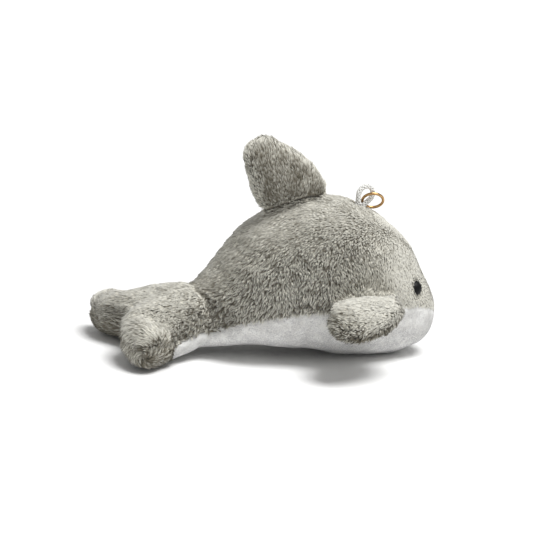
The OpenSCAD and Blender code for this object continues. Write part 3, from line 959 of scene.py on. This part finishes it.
def make_plush():
    """Backing cloth and pile of every panel, cut from one skin."""
    verts, faces = whole_skin()
    middles = verts[faces].mean(axis=1)
    owner = nearest_panel(middles)
    white = (owner == PANELS.index("tail_lower_panel")) & white_tail(middles)
    groups = []
    for number, panel in enumerate(PANELS):
        body = frame["nodes"][panel]["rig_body"]
        style = WHITE if panel == "belly_panel" else STYLES[body]
        groups.append((panel, faces[(owner == number) & ~white], style, body, panel))
    groups.append(("tail_white", faces[white], WHITE, "tail", None))
    verts = set_in(verts, faces, groups, owner)
    normals = normals_of(verts, faces)
    tree = BVHTree.FromPolygons(verts.tolist(), faces.tolist())
    for name, own, style, body, panel in groups:
        cloth = cloth_piece(name + "_cloth", verts, own, style["cloth"], body)
        if panel:
            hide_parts(panel)
        pile_pieces(name + "_pile", verts, own, normals, tree, style, body)


# ---- Filling ----

WADDING_VOXEL = 1 * MM
WADDING_ROUNDS = 4
WADDING_INSET = 1.1 * MM
WADDING_LUMP = 0.3 * MM
WADDING_LUMP_SIZE = 5 * MM


def make_filling(fibre):
    """The wadding, lumpy and a little smaller than the skin, attached as its cloth is."""
    for node in FILLINGS:
        body = frame["nodes"][node]["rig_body"]
        verts, faces = skin_round([(node, np.zeros(3))], WADDING_VOXEL, WADDING_ROUNDS)
        lumps = WADDING_INSET + WADDING_LUMP * waves(verts, WADDING_LUMP_SIZE, WADDING_SEED)
        verts = verts - normals_of(verts, faces) * lumps[:, None]
        obj = mesh_object(body + "_wadding", verts, faces.tolist())
        obj.data.polygons.foreach_set("use_smooth", np.ones(len(faces), bool))
        obj.data.materials.append(fibre)
        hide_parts(node)
        attach(obj, body)


# ---- Cord loop ----

# Route of the loop's cord in millimetres, as in the CAD model, from its aft end over the top to its
# fore end, and the angle in degrees at which it leans forward.
LOOP_ROUTE = [
    (-1.1, 0, -1.2), (-1.2, 0, 0.4), (-1.9, 0, 2), (-2.5, 0, 3.6), (-2.3, 0, 5.2), (-1.4, 0, 6.5),
    (0, 0, 7), (1.4, 0, 6.5), (2.3, 0, 5.2), (2.5, 0, 3.6), (1.9, 0, 2), (1.2, 0, 0.4), (1.1, 0, -1.2),
]
LOOP_LEAN = 22
CORD_D = 2 * MM
STRANDS_EACH_WAY = 4
STRAND_D = 0.56 * MM
BRAID_PITCH = 4.6 * MM
# How far the strands sink into the core, and how far they weave out and in.
STRAND_SINK = 0.08 * MM
WEAVE_DEPTH = 0.09 * MM
CORE_SIDES = 10
STRAND_SIDES = 6
ROUTE_STEPS = 12


def smooth_route(points, steps):
    """A smooth curve through the points, in this many steps from each to the next."""
    p = np.vstack([2 * points[0] - points[1], points, 2 * points[-1] - points[-2]])
    rows = []
    for a, b, c, d in zip(p[:-3], p[1:-2], p[2:-1], p[3:]):
        for t in np.arange(steps) / steps:
            square = (2 * a - 5 * b + 4 * c - d) * t**2
            rows.append(0.5 * (2 * b + (c - a) * t + square + (3 * b - a - 3 * c + d) * t**3))
    rows.append(points[-1])
    return np.array(rows)


def tube(centres, radius, sides):
    """Vertices and faces of a closed tube along these centres."""
    ahead = unit(np.gradient(centres, axis=0))
    side = unit(np.cross(ahead, (0.0, 0.0, 1.0)) + 1e-9)
    angles = 2 * math.pi * np.arange(sides) / sides
    across, up = np.cos(angles)[:, None], np.sin(angles)[:, None]
    rings = []
    for k in range(len(centres)):
        if k:
            side[k] = unit(side[k - 1] - ahead[k] * (side[k - 1] @ ahead[k]))
        rings.append(centres[k] + radius * (across * side[k] + up * np.cross(ahead[k], side[k])))
    last = (len(centres) - 1) * sides
    faces = [
        (r + k, r + (k + 1) % sides, r + sides + (k + 1) % sides, r + sides + k)
        for r in range(0, last, sides) for k in range(sides)
    ]
    faces.append(tuple(range(sides))[::-1])
    faces.append(tuple(last + k for k in range(sides)))
    return np.concatenate(rings), faces


def braid(route):
    """Vertices and faces of strands that run both ways round a core, over and under by turns."""
    ahead = unit(np.gradient(route, axis=0))
    side = np.array((0.0, 1.0, 0.0))
    over = np.cross(ahead, side)
    steps = np.linalg.norm(np.diff(route, axis=0), axis=1)
    run = np.concatenate([[0], np.cumsum(steps)]) * (2 * math.pi / BRAID_PITCH)
    verts, faces = tube(route, CORD_D / 2 - STRAND_D, CORE_SIDES)
    middle = (CORD_D - STRAND_D) / 2 - STRAND_SINK
    for way in (-1, 1):
        reach = middle + way * WEAVE_DEPTH * np.cos(STRANDS_EACH_WAY * run)
        for k in range(STRANDS_EACH_WAY):
            angle = (way * run + 2 * math.pi * k / STRANDS_EACH_WAY)[:, None]
            centres = route + reach[:, None] * (np.cos(angle) * side + np.sin(angle) * over)
            more, walls = tube(centres, STRAND_D / 2, STRAND_SIDES)
            faces += [tuple(i + len(verts) for i in face) for face in walls]
            verts = np.vstack([verts, more])
    return verts, faces


def make_loop(material):
    """The loop, as a round braid along the cord's route."""
    lean = Matrix.Rotation(math.radians(LOOP_LEAN), 3, "Y")
    foot = Vector(JOINTS["loop"]["pos_m"])
    route = smooth_route(np.array([foot + lean @ Vector(p) * MM for p in LOOP_ROUTE]), ROUTE_STEPS)
    verts, faces = braid(route)
    obj = mesh_object("braided_loop", verts, faces)
    obj.data.polygons.foreach_set("use_smooth", np.ones(len(faces), bool))
    obj.data.materials.append(material)
    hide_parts("hanging_loop")
    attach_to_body(obj, "loop")


def make_fittings():
    """The hard pieces, shown as the CAD model has them, and then the loop and the filling."""
    eye, shader = mottled_material(
        "eye_black", (0.003, 0.003, 0.003), (0.004, 0.004, 0.004), size=1.5 * MM, roughness=0.5,
        bump_size=0.6 * MM, bump_depth=0.004 * MM,
    )
    set_inputs(shader, {"Specular IOR Level": 0.2})
    washer, _ = mottled_material(
        "washer_plastic", srgb(232, 230, 222), srgb(240, 238, 232), size=2 * MM, roughness=0.5,
        bump_size=0.5 * MM, bump_depth=0.02 * MM,
    )
    brass, shader = mottled_material(
        "ring_gold", srgb(184, 144, 96), srgb(210, 172, 122), size=1.2 * MM, roughness=0.3,
        bump_size=0.25 * MM, bump_depth=0.03 * MM,
    )
    set_inputs(shader, {"Metallic": 1})
    cord, shader = mottled_material(
        "cord_white", srgb(236, 235, 231), srgb(246, 246, 244), size=0.8 * MM, roughness=0.85,
        bump_size=0.12 * MM, bump_depth=0.06 * MM,
    )
    set_inputs(shader, {"Sheen Weight": 0.3})
    fibre, _ = mottled_material(
        "fibre", srgb(232, 230, 224), srgb(244, 243, 239), size=3 * MM, roughness=0.95,
        bump_size=0.3 * MM, bump_depth=0.3 * MM,
    )
    materials = {
        "right_eye": eye, "left_eye": eye, "right_eye_washer": washer, "left_eye_washer": washer,
        "jump_ring": brass, "hanging_loop": cord, "loop_knot": cord,
    }
    for name, obj in frame["nodes"].items():
        for holder in obj.material_slots:
            holder.material = materials.get(name, fibre)
    make_loop(cord)
    make_filling(fibre)


make_camera()
make_light()
make_floor()
make_plush()
make_fittings()

bpy.context.scene.view_settings.view_transform = "Standard"
